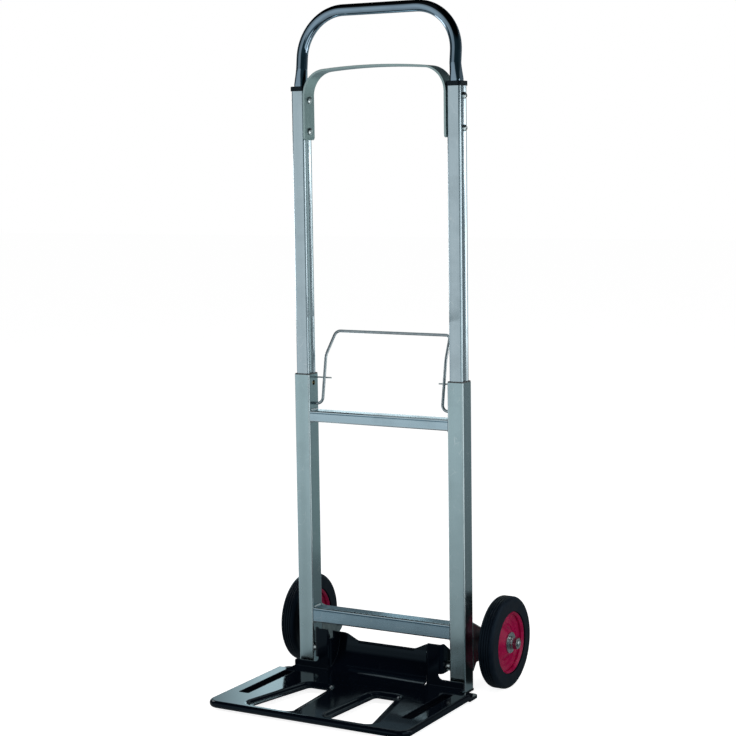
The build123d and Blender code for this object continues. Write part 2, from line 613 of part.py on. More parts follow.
def pivot_spacer():
    start = CHEEK_OUT + RUN_GAP
    bore = PIVOT_D / 2 + FIT_GAP
    outline = [(start, bore), (start, PIVOT_SPACER_D / 2), (TUBE_IN, PIVOT_SPACER_D / 2), (TUBE_IN, bore)]
    return spun_x(outline, 0, PIVOT_Y, PIVOT_Z)


def cut_outline(side, grow):
    """Plan of one cut-out: a round-cornered trapezium that narrows towards the back, grown all round."""
    corners = [(side * CUT_SPINE, -CUT_FRONT), (side * (PLATE_HALF - CUT_RIM), -CUT_FRONT),
               (side * (PLATE_HALF - CUT_REAR_RIM), -CUT_REAR), (side * CUT_REAR_SPINE, -CUT_REAR)]
    face = make_face(Polyline(*corners, close=True))
    face = offset(face, grow, kind=Kind.INTERSECTION) if grow else face
    return fillet(face.vertices(), CUT_CORNER_R + grow)


def rim_plan(inset):
    """Plan of the toe plate with its front corners rounded, drawn in by inset but open past the back."""
    length = TOE_REACH - WALL_FOOT
    plan = Pos(0, inset - TOE_REACH + length / 2) * Rectangle(PLATE_W - 2 * inset, length)
    return fillet(plan.vertices().group_by(Axis.Y)[0], PLATE_CORNER_R - inset)


def plate_form(inset):
    """The toe plate's outer form with its rounded rim, or with an inset the hollow inside its sheet."""
    form = Pos(0, 0, RIM_LIFT + inset) * extrude(rim_plan(inset), PLATE_TOP - RIM_LIFT - 2 * inset)
    rims = [e for e in form.edges() if e.center().Y < -WALL_FOOT - 1 and abs(e.tangent_at(0.5).Z) < 0.9]
    form = fillet(rims, RIM_R - inset)
    form -= pocket(1, inset) + pocket(-1, inset)
    if not inset:
        form = fillet(pocket_edges(form, PLATE_TOP), POCKET_CREST_R)
        form = fillet(pocket_edges(form, POCKET_FLOOR), POCKET_ROOT_R)
    for side in (1, -1):
        run = SLOT_FRONT - SLOT_REAR + 2 * inset
        slot = RectangleRounded(SLOT_W + 2 * inset, run, SLOT_CORNER_R + inset)
        floor = PLATE_TOP - SLOT_DEPTH - inset
        form -= Pos(side * SLOT_X, -(SLOT_FRONT + SLOT_REAR) / 2, floor) * extrude(slot, BIG)
    return form


def pocket_edges(form, height):
    """The edges of both pockets at one height, clear of the rim and the back."""
    inside = [e for e in form.edges() if abs(e.center().Z - height) < 0.01 and abs(e.tangent_at(0.5).Z) < 0.01]
    inside = [e for e in inside if abs(e.center().X) < PLATE_HALF - RIM_R - 1]
    return [e for e in inside if RIM_R + 1 - TOE_REACH < e.center().Y < -WALL_FOOT - 1]


def sole():
    """Strip turned down from the hem under the nose, on which the plate rests."""
    hem = RIM_HEM - TOE_REACH
    toe = SOLE_SETBACK - TOE_REACH
    heel = toe + SOLE_W
    outline = [(hem - SHEET, RIM_LIFT), (toe, 0), (heel, 0), (heel, SHEET), (toe + SHEET, SHEET),
               (hem, RIM_LIFT + SHEET), (hem - SHEET, RIM_LIFT + SHEET)]
    return slab_x(outline, PLATE_CORNER_R - PLATE_HALF, PLATE_HALF - PLATE_CORNER_R)


def pocket(side, inset):
    """The sloped dish round one cut-out, with its floor lowered by inset for the underside."""
    floor = POCKET_FLOOR - inset
    margin = POCKET_MARGIN + inset * (sqrt(2) - 1)
    depth = PLATE_TOP + SHEET - floor
    low = Pos(0, 0, floor) * cut_outline(side, margin)
    high = Pos(0, 0, floor + depth) * cut_outline(side, margin + depth)
    return loft([low, high])


def scoop():
    """Centre of the back wall: sheet that sweeps up off the plate and leans back, with a hemmed top edge."""
    sweep_deg = degrees(atan2(SCOOP_RUN, SCOOP_R - SCOOP_RISE))
    arc = CenterArc((-WALL_FOOT, PLATE_TOP + SCOOP_R), SCOOP_R + SHEET / 2, -90, sweep_deg)
    lean = radians(sweep_deg)
    top = arc @ 1
    rise = HORN_TOP - WALL_TOP + SHEET
    tail = Line(top, (top.X + rise / tan(lean), top.Y + rise))
    sheet = extrude(Plane.YZ.offset(-EAR_INNER_X) * trace(arc + tail, SHEET), 2 * EAR_INNER_X)
    dip = make_face(Polyline((WALL_TOP_X, WALL_TOP), (HORN_X, HORN_TOP), (BIG, HORN_TOP), (BIG, BIG),
                             (-BIG, BIG), (-BIG, HORN_TOP), (-HORN_X, HORN_TOP), (-WALL_TOP_X, WALL_TOP),
                             close=True))
    bends = [v for v in dip.vertices() if abs(v.X) < EAR_INNER_X]
    sheet -= extrude(Plane.XZ * fillet(bends, WALL_DIP_R), BIG, both=True)
    hem = rod_x(2 * HEM_R, -WALL_TOP_X, WALL_TOP_X, top.X, WALL_TOP - HEM_R / 2)
    return sheet + hem


def ear():
    """Right ear of the back wall: one sheet folded twice, with the pivot hole in its outer cheek."""
    front = -EAR_FRONT + SHEET / 2
    path = FilletPolyline((EAR_INNER_X, WALL_TOP_Y + SHEET), (EAR_INNER_X, front), (CHEEK_X, front),
                          (CHEEK_X, PIVOT_Y + CHEEK_END_R), radius=WALL_BEND_R - SHEET / 2)
    folded = Pos(0, 0, PLATE_TOP - SHEET) * extrude(trace(path, SHEET), EAR_TOP - PLATE_TOP + SHEET)
    middle = (EAR_INNER_X + CHEEK_X) / 2
    cheek_rear = PIVOT_Y + CHEEK_END_R
    cheek = slab_x([(-EAR_FRONT, CHEEK_BOTTOM), (-EAR_FRONT, EAR_TOP), (CHEEK_BRIDGE - EAR_FRONT, EAR_TOP),
                    (cheek_rear, EAR_TOP - CHEEK_REAR_DROP), (cheek_rear, PIVOT_Z), (PIVOT_Y, CHEEK_BOTTOM)],
                   middle, BIG)
    cheek += rod_x(2 * CHEEK_END_R, middle, BIG, PIVOT_Y, PIVOT_Z)
    fold = WALL_BEND_R - EAR_FRONT
    foot = slab_x([(-EAR_FRONT, 0), (-EAR_FRONT, CHEEK_BOTTOM), (fold, CHEEK_BOTTOM), (fold, 0)], 0, EAR_EDGE_X)
    rear = WALL_TOP_Y + SHEET
    web = slab_x([(-EAR_FRONT, 0), (-EAR_FRONT, EAR_TOP), (SHEET - EAR_FRONT, EAR_TOP), (rear, HORN_TOP),
                  (rear, 0)], 0, middle)
    web &= rod_x(2 * SCOOP_R + SHEET, 0, middle, -WALL_FOOT, PLATE_TOP + SCOOP_R)
    folded &= cheek + web + foot
    folded -= rod_x(PIVOT_D + 2 * PIVOT_GAP, middle, BIG, PIVOT_Y, PIVOT_Z)
    return folded - notch()


def notch():
    """Relief at the top of the ear's inner bend: a funnel over a narrow slit."""
    wide = NOTCH_TOP_W / 2
    slim = NOTCH_W / 2
    step = (EAR_TOP + NOTCH_BOTTOM) / 2 - NOTCH_W
    outline = [(-wide, EAR_TOP + 1), (wide, EAR_TOP + 1), (slim, step), (slim, NOTCH_BOTTOM),
               (-slim, NOTCH_BOTTOM), (-slim, step)]
    return Pos(EAR_INNER_X) * slab_y(outline, -EAR_FRONT - 1, -EAR_FRONT + 2 * WALL_BEND_R)


def lip():
    """Upstand in front of the right tube, swept up into the ear, and the ledge that carries it on the plate."""
    bottom = PLATE_TOP - SHEET
    middle = (EAR_INNER_X + CHEEK_X) / 2
    wall = make_face(Polyline((middle, bottom), (LIP_OUTER_X, bottom), (LIP_OUTER_X, LIP_TOP),
                              (EAR_EDGE_X, LIP_TOP), (EAR_EDGE_X, CHEEK_BOTTOM), (middle, CHEEK_BOTTOM),
                              close=True))
    wall = fillet(wall.vertices().group_by(Axis.Y)[1].sort_by(Axis.X)[0], LIP_SWEEP_R)
    wall = fillet(wall.vertices().group_by(Axis.X)[-1].sort_by(Axis.Y)[-1], LIP_END_R)
    upstand = extrude(Plane.XZ.offset(EAR_FRONT) * wall, -SHEET)
    run = WALL_FOOT - EAR_FRONT + SHEET + 1
    width = LIP_OUTER_X - EAR_INNER_X
    ledge = Pos(EAR_INNER_X + width / 2, -WALL_FOOT - 1 + run / 2, bottom + SHEET / 2) * Box(width, run, SHEET)
    return upstand + ledge


def side_tail():
    """The right rim's end, crimped flat, tapered down behind the plate and rounded off."""
    root = -WALL_FOOT - 1
    top = PLATE_TOP - RIM_R
    outline = [(root, RIM_LIFT), (root, top), (-WALL_FOOT, top), (-SIDE_TAIL_REAR, RIM_LIFT + SIDE_TAIL_H),
               (-SIDE_TAIL_REAR, RIM_LIFT)]
    tail = slab_x(outline, LIP_OUTER_X, PLATE_HALF)
    corner = tail.edges().filter_by(Axis.Z).group_by(Axis.Y)[-1].sort_by(Axis.X)[-1]
    return fillet(corner, SIDE_TAIL_R)


def toe_plate():
    """One pressing: hollow plate with two cut-outs and a hemmed rim, back wall, ears, lips and sole."""
    plate = plate_form(0) - plate_form(SHEET)
    plate -= extrude(rim_plan(RIM_HEM), (RIM_LIFT + POCKET_FLOOR) / 2)
    plate += sole()
    for side in (1, -1):
        plate -= extrude(cut_outline(side, 0), BIG, both=True)
    right = ear() + lip() + side_tail()
    return plate + scoop() + right + left(right)


def pair(part):
    """A part and its left-hand twin, as two solids of one node."""
    return Compound(children=[*part.solids(), *left(part).solids()])


def every(parts):
    """Like parts gathered in one node."""
    return Compound(children=[solid for part in parts for solid in part.solids()])


nodes = {"upper_crossbar": crossbar(UPPER_BAR_TOP, UPPER_BAR_H, UPPER_BAR_D),
         "lower_crossbar": crossbar(LOWER_BAR_TOP, LOWER_BAR_H, LOWER_BAR_D),
         "axle_spacers": pair(axle_spacer()),
         "axle_washers": pair(axle_washer()),
         "axle_nuts": pair(axle_nut()),
         "bail_stop_pins": pair(stop_pin()),
         "toe_pivot_rivets": pair(toe_pivot()),
         "toe_pivot_spacers": pair(pivot_spacer()),
         "handle_loop": handle_loop(),
         "handle_strap": strap(),
         "strap_bolts": every([pair(strap_bolt(z)) for z in STRAP_BOLT_Z]),
         "strap_nuts": every([pair(strap_nut(z)) for z in STRAP_BOLT_Z]),
         "bail": bail(),
         "toe_plate": toe_plate()}
right_hand = {"outer_tube": outer_tube(), "guide_bush": guide_bush(), "foot_plug": foot_plug(),
              "wheel_bracket": wheel_bracket(), "axle_bolt": axle_bolt(), "inner_tube": inner_tube(),
              "end_collar": end_collar(), "slider_plug": slider_plug(), "lock_button": lock_button(),
              "lock_spring": lock_spring(), "tyre": tyre(), "rim_outer": rim_half(1),
              "rim_inner": rim_half(-1), "hub": hub(), "wheel_bush": wheel_bush()}
for name, part in right_hand.items():
    nodes[name + "_right"] = part
    nodes[name + "_left"] = left(part)

os.makedirs("parts", exist_ok=True)
for name, part in nodes.items():
    export_step(Pos(0, TUBE_Y, 0) * part, "parts/" + name + ".step")
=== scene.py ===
import math

import bpy
from mathutils import Matrix, Vector


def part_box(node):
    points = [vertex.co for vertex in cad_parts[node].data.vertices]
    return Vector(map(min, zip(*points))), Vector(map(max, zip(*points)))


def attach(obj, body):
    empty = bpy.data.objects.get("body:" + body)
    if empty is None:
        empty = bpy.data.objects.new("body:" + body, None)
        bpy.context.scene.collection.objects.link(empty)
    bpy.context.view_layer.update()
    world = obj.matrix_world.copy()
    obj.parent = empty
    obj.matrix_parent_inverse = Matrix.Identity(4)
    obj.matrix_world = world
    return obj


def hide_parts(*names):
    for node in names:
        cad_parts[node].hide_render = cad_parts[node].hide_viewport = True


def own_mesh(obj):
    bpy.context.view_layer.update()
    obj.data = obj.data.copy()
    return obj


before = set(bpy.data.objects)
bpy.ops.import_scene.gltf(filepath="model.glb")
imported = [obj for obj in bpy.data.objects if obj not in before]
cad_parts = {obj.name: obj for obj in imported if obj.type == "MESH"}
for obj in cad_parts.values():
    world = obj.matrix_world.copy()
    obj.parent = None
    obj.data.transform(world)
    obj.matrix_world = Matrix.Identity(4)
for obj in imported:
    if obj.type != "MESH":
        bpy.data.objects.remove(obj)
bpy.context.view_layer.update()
bpy.ops.object.select_all(action="DESELECT")

# Camera: it stands well back to the front right of the truck, above the truck's middle.
# Its lens is long, which keeps the tubes nearly parallel, and it leans by less than a degree.
camera = bpy.data.objects.new("camera", bpy.data.cameras.new("camera"))
bpy.context.scene.collection.objects.link(camera)
camera.data.lens = 87.917
camera.data.sensor_width = 36.0
round_truck, above, lean = (math.radians(angle) for angle in (29.790, 6.631, -0.816))
back = Vector((math.sin(round_truck) * math.cos(above), -math.cos(round_truck) * math.cos(above),
               math.sin(above)))
right = Vector((math.cos(round_truck), math.sin(round_truck), 0))
up = back.cross(right)
leaning_right = right * math.cos(lean) + up * math.sin(lean)
leaning_up = up * math.cos(lean) - right * math.sin(lean)
stand = Matrix((leaning_right, leaning_up, back)).transposed().to_4x4()
stand.translation = (1.41419, -2.45326, 0.85727)
camera.matrix_world = stand
bpy.context.scene.camera = camera
bpy.context.scene.view_settings.view_transform = "Standard"


# Studio: a pale paper floor in a white room, lit by three soft boxes. Bright metal and gloss paint mirror
# what stands round the truck: a pale screen to the front left, grey walls, a dark ceiling, and the lit white
# cards that lay bands of light on the tubes, the bars and the toe plate.
def plug(node, inputs):
    """Sets a node's inputs, or links those that are given as another node's output."""
    for name, value in inputs.items():
        if isinstance(value, bpy.types.NodeSocket):
            node.id_data.links.new(value, node.inputs[name])
        else:
            node.inputs[name].default_value = value
    return node


def place(tree, kind, inputs=None, **settings):
    """Adds one node to a node tree."""
    node = tree.nodes.new("ShaderNode" + kind)
    for name, value in settings.items():
        setattr(node, name, value)
    return plug(node, inputs or {})


def spot_on(tree):
    """Where a spot of the surface lies, in metres."""
    return place(tree, "TexCoord").outputs["Object"]


def split(tree, vector):
    """A vector's X, Y and Z."""
    return place(tree, "SeparateXYZ", {0: vector}).outputs


def work_out(tree, operation, first, second=0.0):
    """One step of arithmetic on values."""
    return place(tree, "Math", {0: first, 1: second}, operation=operation).outputs[0]


def spread(tree, value, low, high, to_low=0.0, to_high=1.0):
    """Carries a value from one range to another, and holds it at the ends."""
    return place(tree, "MapRange", {"Value": value, "From Min": low, "From Max": high, "To Min": to_low,
                                    "To Max": to_high}).outputs[0]


def round_about(tree, across, along, screens):
    """What stands round the truck, from the left by way of the front: a turn, a shade and a blue cast each."""
    blue_gain = 0.4
    angle = work_out(tree, "ARCTAN2", along, across)
    ring = place(tree, "ValToRGB", {"Fac": spread(tree, angle, -math.pi, math.pi)})
    stops = ring.color_ramp.elements
    while len(stops) < len(screens):
        stops.new(1.0)
    for stop, (turn, shade, blue) in zip(stops, screens):
        stop.position = turn
        stop.color = (shade * (1 - blue), shade, shade * (1 + blue_gain * blue), 1)
    return ring.outputs["Color"]


def tint(tree, amount, first, second):
    """Goes from one colour to another."""
    amount_in, first_in, second_in, colour_out = 0, 6, 7, 2
    mix = place(tree, "Mix", {amount_in: amount, first_in: first, second_in: second}, data_type="RGBA")
    return mix.outputs[colour_out]


def dimmed(tree, colour, value):
    """A colour made darker or lighter by a value."""
    return place(tree, "VectorMath", {0: colour, "Scale": value}, operation="SCALE").outputs[0]


def new_finish(name):
    """An empty material: the material, its node tree and its surface shader."""
    finish = bpy.data.materials.new(name)
    finish.use_nodes = True
    return finish, finish.node_tree, finish.node_tree.nodes["Principled BSDF"]


ambient = 0.14
room = bpy.data.worlds.new("white_room")
bpy.context.scene.world = room
room.use_nodes = True
tree = room.node_tree
path = place(tree, "LightPath").outputs
way = split(tree, place(tree, "TexCoord").outputs["Generated"])
walls = round_about(tree, way["X"], way["Y"], (
    (0.00, 0.08, 0.30), (0.090, 0.10, 0.30), (0.110, 0.95, 0.06), (0.17, 1.10, 0.04), (0.235, 1.00, 0.06),
    (0.262, 0.09, 0.50), (0.46, 0.06, 0.50), (0.60, 0.12, 0.30), (0.63, 0.34, 0.10), (0.70, 0.29, 0.15),
    (0.76, 0.22, 0.25), (0.93, 0.20, 0.25), (1.00, 0.10, 0.12)))
over_floor = spread(tree, way["Z"], 0.00, 0.06, 1.0, 0.86)
over_screens = spread(tree, way["Z"], 0.16, 0.24, 1.0, 0.72)
under_ceiling = spread(tree, way["Z"], 0.42, 0.56, 1.0, 0.025)
lit = work_out(tree, "MULTIPLY", over_floor, over_screens)
mirrored = dimmed(tree, walls, work_out(tree, "MULTIPLY", lit, under_ceiling))
seen = work_out(tree, "MAXIMUM", path["Is Camera Ray"], path["Is Transmission Ray"])
plain = work_out(tree, "MAXIMUM", seen, ambient)
plug(tree.nodes["Background"], {"Color": tint(tree, path["Is Glossy Ray"], plain, mirrored),
                                "Strength": 1.0})

floor_width = 30.0
floor_glow = 0.88
near_truck, far_off, near_shade = 0.10, 2.4, 0.56
bpy.ops.mesh.primitive_plane_add(size=floor_width)
floor = bpy.context.object
floor.name = "floor"
paper, tree, shader = new_finish("floor_paper")
path = place(tree, "LightPath").outputs
spot = spot_on(tree)
ground = split(tree, spot)
distance = place(tree, "VectorMath", {0: spot}, operation="LENGTH").outputs["Value"]
mirrored = round_about(tree, ground["X"], ground["Y"], (
    (0.00, 0.60, 0.12), (0.08, 0.95, 0.06), (0.17, 1.00, 0.04), (0.280, 0.95, 0.06), (0.32, 0.20, 0.30),
    (0.50, 0.20, 0.30), (0.56, 0.30, 0.15), (0.64, 0.32, 0.10), (0.72, 0.30, 0.15), (0.85, 0.40, 0.20),
    (1.00, 0.60, 0.12)))
mirrored = dimmed(tree, mirrored, spread(tree, distance, near_truck, far_off, near_shade, 1.0))
plug(shader, {"Base Color": (0.8, 0.8, 0.8, 1), "Roughness": 1.0, "Specular IOR Level": 0.0,
              "Emission Color": (1, 1, 1, 1),
              "Emission Strength": work_out(tree, "MULTIPLY", path["Is Camera Ray"], floor_glow)})
mirror_glow = place(tree, "Emission", {"Color": mirrored, "Strength": 1.0})
chosen = place(tree, "MixShader", {0: path["Is Glossy Ray"], 1: shader.outputs[0],
                                   2: mirror_glow.outputs[0]})
plug(tree.nodes["Material Output"], {"Surface": chosen.outputs[0]})
floor.data.materials.append(paper)


def white_card(name, stands, turn, size, colour, glow, flat=False):
    """A lit white card that only gloss and metal show, upright and turned round Z, or lying flat.

    Its glow is one value, or an axis with two places along it and the glow at each.
    """
    tipped = 0 if flat else math.radians(90)
    bpy.ops.mesh.primitive_plane_add(size=1.0, location=stands, rotation=(tipped, 0, math.radians(turn)))
    card = bpy.context.object
    card.name = name
    card.scale = (*size, 1)
    bpy.ops.object.transform_apply(location=True, rotation=True, scale=True)
    card.visible_camera = False
    card.visible_diffuse = False
    card.visible_shadow = False
    paint, tree, shader = new_finish(name)
    if isinstance(glow, tuple):
        axis, *run = glow
        glow = spread(tree, split(tree, spot_on(tree))[axis], *run)
    plug(shader, {"Base Color": (0, 0, 0, 1), "Specular IOR Level": 0.0, "Emission Color": colour,
                  "Emission Strength": glow})
    card.data.materials.append(paint)


behind_left = 33.3
white_card("left_card", stands=(-0.487, 0.219, 0.20), turn=behind_left, size=(0.425, 0.24),
           colour=(0.72, 1.0, 1.09, 1), glow=("X", -0.50, -0.385, 0.55, 2.9))
white_card("low_strip", stands=(-0.188, 0.415, 0.300), turn=behind_left, size=(0.34, 0.09),
           colour=(0.85, 1.0, 1.04, 1), glow=("Z", 0.25, 0.35, 0.42, 0.48))
white_card("high_strip", stands=(-0.188, 0.415, 0.508), turn=behind_left, size=(0.34, 0.09),
           colour=(0.85, 1.0, 1.04, 1), glow=("Z", 0.46, 0.55, 1.65, 1.9))
white_card("middle_card", stands=(0.03, 0.52, 0.55), turn=0.0, size=(0.26, 0.94),
           colour=(0.96, 1.16, 1.16, 1), glow=("Z", 0.35, 0.60, 0.44, 0.66))
white_card("right_card", stands=(0.620, 0.260, 0.50), turn=115.0, size=(0.26, 1.00),
           colour=(1, 1, 1, 1), glow=("Z", 0.46, 0.54, 1.3, 3.2))
white_card("high_card", stands=(0.670, 0.490, 0.87), turn=118.0, size=(0.20, 0.12),
           colour=(1, 1, 1, 1), glow=5.0)
white_card("corner_card", stands=(-0.166, 0.430, 0.236), turn=behind_left, size=(0.080, 0.030),
           colour=(0.72, 1.0, 1.10, 1), glow=1.7)
white_card("far_left_card", stands=(-0.950, 0.150, 0.70), turn=90.0, size=(0.50, 0.34),
           colour=(1, 1, 1, 1), glow=5.0)
white_card("over_card", stands=(0.0, 0.03, 0.60), turn=0.0, size=(0.24, 0.26),
           colour=(0.90, 1.0, 1.03, 1), glow=0.5, flat=True)
white_card("front_card", stands=(0.846, -0.25, 0.475), turn=70.0, size=(0.84, 0.95),
           colour=(0.92, 1.0, 1.02, 1), glow=("Z", 0.0, 0.4, 0.9, 1.4))


def soft_box(name, stands, faces, width, height, power):
    """A lamp behind a sheet of diffusing cloth, turned so that metal doesn't mirror it."""
    lamp = bpy.data.objects.new(name, bpy.data.lights.new(name, "AREA"))
    bpy.context.scene.collection.objects.link(lamp)
    lamp.data.shape = "RECTANGLE"
    lamp.data.size = width
    lamp.data.size_y = height
    lamp.data.energy = power
    lamp.location = stands
    lamp.rotation_euler = (Vector(faces) - Vector(stands)).to_track_quat("-Z", "Y").to_euler()
    lamp.visible_glossy = False


soft_box("right_soft_box", stands=(2.2, -0.6, 0.9), faces=(0, 0.05, 0.4), width=1.2, height=1.6, power=16.0)
soft_box("left_soft_box", stands=(-2.0, -2.2, 1.5), faces=(0, 0, 0.5), width=1.6, height=1.6, power=24.0)
soft_box("top_soft_box", stands=(0.3, -0.6, 2.6), faces=(0, 0, 0.3), width=1.4, height=1.4, power=12.0)


# Outer tubes: two box tubes of extruded aluminium, cut to length, drilled and given a satin anodised skin.
# The die leaves fine lines along each bar, and hands leave smudges and hair scratches.
def new_effect(name, inputs, outputs):
    """An empty node group: the group, its inputs and its outputs."""
    group = bpy.data.node_groups.new(name, "ShaderNodeTree")
    for label, kind, value in inputs:
        socket = group.interface.new_socket(label, in_out="INPUT", socket_type="NodeSocket" + kind)
        socket.default_value = value
    for label, kind in outputs:
        group.interface.new_socket(label, in_out="OUTPUT", socket_type="NodeSocket" + kind)
    return group, group.nodes.new("NodeGroupInput").outputs, group.nodes.new("NodeGroupOutput")


def effect(tree, group, **inputs):
    """Puts a node group into a material with values of its own."""
    return place(tree, "Group", inputs, node_tree=group).outputs


def mottle(tree, size, detail=3.0, roughness=0.55, vector=None):
    """Cloudy noise with lumps of about this size, in metres."""
    vector = vector or spot_on(tree)
    return place(tree, "TexNoise", {"Vector": vector, "Scale": 1.0 / size, "Detail": detail,
                                    "Roughness": roughness}).outputs["Fac"]


fine_line, broad_line = 0.0022, 0.012
drawn_lines, given, results = new_effect("drawn_lines", [("Stretch", "Vector", (1, 1, 1))],
                                         [("Lines", "Float"), ("Broad", "Float")])
bar = place(drawn_lines, "Mapping", {"Vector": spot_on(drawn_lines), "Scale": given["Stretch"]}).outputs[0]
plug(results, {"Lines": mottle(drawn_lines, fine_line, detail=1.0, roughness=0.5, vector=bar),
               "Broad": mottle(drawn_lines, broad_line, detail=2.0, roughness=0.5, vector=bar)})

smudge_size, scratch_kink, scratch_run = 0.035, 0.012, 0.02
handled, given, results = new_effect("handled", [("Scratches", "Float", 0.5)],
                                     [("Smudge", "Float"), ("Scratch", "Float")])
smudge = spread(handled, mottle(handled, smudge_size, detail=4.0, roughness=0.6), 0.45, 0.7)
here = spot_on(handled)
warp = place(handled, "TexNoise", {"Vector": here, "Scale": 40.0, "Detail": 1.0}).outputs["Color"]
warped = place(handled, "VectorMath", {0: here, 1: dimmed(handled, warp, scratch_kink)}, operation="ADD")
turned = place(handled, "Mapping", {"Vector": warped.outputs[0], "Rotation": (0.5, 0.9, 0.3),
                                    "Scale": (60, 14, 60)})
cells = place(handled, "TexVoronoi", {"Vector": turned.outputs[0], "Scale": 1.0}, feature="DISTANCE_TO_EDGE")
hair = spread(handled, cells.outputs["Distance"], 0.004, 0.022, 1.0, 0.0)
broken = spread(handled, mottle(handled, scratch_run, detail=2.0), 0.52, 0.62)
scratch = work_out(handled, "MULTIPLY", work_out(handled, "MULTIPLY", hair, broken), given["Scratches"])
plug(results, {"Smudge": smudge, "Scratch": scratch})


def dress(finish, *names):
    """Puts a finish on parts of the truck."""
    for name in names:
        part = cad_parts[name]
        part.data.materials.clear()
        part.data.materials.append(finish)


def bumped(tree, height, strength, depth, normal=None):
    """A surface raised by a height, of at most this depth in metres, over a normal where one is given."""
    bump = place(tree, "Bump", {"Strength": strength, "Distance": depth, "Height": height})
    if normal is not None:
        plug(bump, {"Normal": normal})
    return bump.outputs[0]


def laid_on(tree, colour, mask, strength, top):
    """A colour with another laid over it where a mask says, at most this strongly."""
    return tint(tree, work_out(tree, "MULTIPLY", mask, strength), colour, top)


def sides_of(name, axes, inset=0.0):
    """The ways across a bar, from its solid: an axis, a middle and a half width less an inset each."""
    low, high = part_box(name)
    return [(axis, (low[axis] + high[axis]) / 2, (high[axis] - low[axis]) / 2 - inset) for axis in axes]


def off_middle(tree, spot, middle, half):
    """How far out from a bar's middle a spot lies, as a part of the bar's half width, left and right alike."""
    off = work_out(tree, "SUBTRACT", work_out(tree, "ABSOLUTE", spot), middle)
    return work_out(tree, "DIVIDE", work_out(tree, "ABSOLUTE", off), half)


def aluminium(name, along, across, corner, dark, light, rough):
    """Anodised bar with drawn lines along one axis, smudges, scratches and a painted highlight along its
    corners.

    The painted highlight starts where a spot's parts of the half widths, on both ways across, add up to
    corner.
    """
    line_stretch, patch_size = 0.006, 0.05
    scratched, corner_highlight = (0.62, 0.66, 0.67, 1), (0.62, 0.68, 0.70, 1)
    smudged = [0.75 * part for part in dark[:3]] + [1]
    finish, tree, shader = new_finish(name)
    lines = effect(tree, drawn_lines, Stretch=[line_stretch if axis == along else 1 for axis in range(3)])
    marks = effect(tree, handled, Scratches=0.6)
    spot = split(tree, spot_on(tree))
    out = [off_middle(tree, spot[axis], middle, half) for axis, middle, half in across]
    corners = spread(tree, work_out(tree, "ADD", *out), corner - 0.02, corner + 0.05)
    patches = spread(tree, mottle(tree, patch_size), 0.3, 0.6, 0.5, 1.0)
    colour = tint(tree, spread(tree, lines["Broad"], 0.3, 0.7), dark, light)
    colour = laid_on(tree, colour, marks["Smudge"], 0.22, smudged)
    colour = laid_on(tree, colour, marks["Scratch"], 0.5, scratched)
    # Painted highlight: a pale colour laid in patches along the corners, where light draws a bright line.
    colour = laid_on(tree, colour, work_out(tree, "MULTIPLY", corners, patches), 0.55, corner_highlight)
    grain = work_out(tree, "MULTIPLY", lines["Lines"], 0.10)
    grain = work_out(tree, "ADD", grain, work_out(tree, "MULTIPLY", marks["Smudge"], 0.08))
    plug(shader, {"Base Color": colour, "Metallic": 1.0, "Roughness": work_out(tree, "ADD", grain, rough),
                  "Normal": bumped(tree, lines["Lines"], strength=0.005, depth=0.0003)})
    return finish


dress(aluminium("tube_aluminium", along=2, across=sides_of("outer_tube_right", (0, 1)), corner=1.83,
                dark=(0.290, 0.390, 0.412, 1), light=(0.318, 0.424, 0.450, 1), rough=0.15),
      "outer_tube_left", "outer_tube_right")

# Crossbars: two more box bars between the tubes, welded on at their ends, with a fine line along the front.
# Each weld is a bead of overlapping scales in the corner between bar and tube.
# The bars are the same aluminium as the tubes: the upper bar's lighter, bluer base is painted light, and the
# lower bar's darker base is painted shade.
dress(aluminium("upper_bar_aluminium_painted_light", along=0, across=sides_of("upper_crossbar", (1, 2)), corner=1.73,
                dark=(0.330, 0.440, 0.500, 1), light=(0.362, 0.476, 0.536, 1), rough=0.20), "upper_crossbar")
dress(aluminium("lower_bar_aluminium_painted_shade", along=0, across=sides_of("lower_crossbar", (1, 2)), corner=1.80,
                dark=(0.215, 0.320, 0.385, 1), light=(0.240, 0.350, 0.415, 1), rough=0.20), "lower_crossbar")


def weld_bead(name, start, turned, step, radius, scales):
    """A run of weld: a round bead that swells and thins again at each scale, drawn out from its start."""
    end_width, valley_width = 0.55, 0.74
    bpy.ops.object.select_all(action="DESELECT")
    bpy.ops.mesh.primitive_circle_add(vertices=14, radius=end_width * radius, fill_type="NGON",
                                      location=start, rotation=turned)
    bead = bpy.context.object
    bead.name = name
    bpy.ops.object.mode_set(mode="EDIT")
    bpy.ops.mesh.select_all(action="SELECT")
    width = end_width
    for scale in range(scales):
        full = 1.0 + 0.07 * math.sin(2.3 * scale)
        for part, wide in ((0.22, full), (0.46, 0.97 * full), (0.32, valley_width)):
            move = {"value": [part * length for length in step]}
            bpy.ops.mesh.extrude_region_move(TRANSFORM_OT_translate=move)
            bpy.ops.transform.resize(value=(wide / width,) * 3)
            width = wide
    bpy.ops.mesh.select_all(action="SELECT")
    bpy.ops.mesh.normals_make_consistent(inside=False)
    bpy.ops.object.mode_set(mode="OBJECT")
    bpy.ops.object.transform_apply(location=True, rotation=True, scale=True)
    bpy.ops.object.shade_smooth()
    return bead


def copied(piece, name, shift):
    """The same piece once more, with a mesh of its own, at another place."""
    bpy.ops.object.select_all(action="DESELECT")
    piece.select_set(True)
    bpy.context.view_layer.objects.active = piece
    bpy.ops.object.duplicate()
    twin = bpy.context.object
    twin.name = name
    bpy.ops.transform.translate(value=shift)
    bpy.ops.object.transform_apply(location=True, rotation=True, scale=True)
    return twin


def clouded(tree, cloud, dark, light):
    """A colour that drifts from one shade to another with cloudy noise."""
    return tint(tree, spread(tree, cloud, 0.35, 0.65), dark, light)


def uneven(tree, cloud, smooth, rough):
    """A roughness that drifts from one value to another with cloudy noise."""
    return spread(tree, cloud, 0.3, 0.7, smooth, rough)


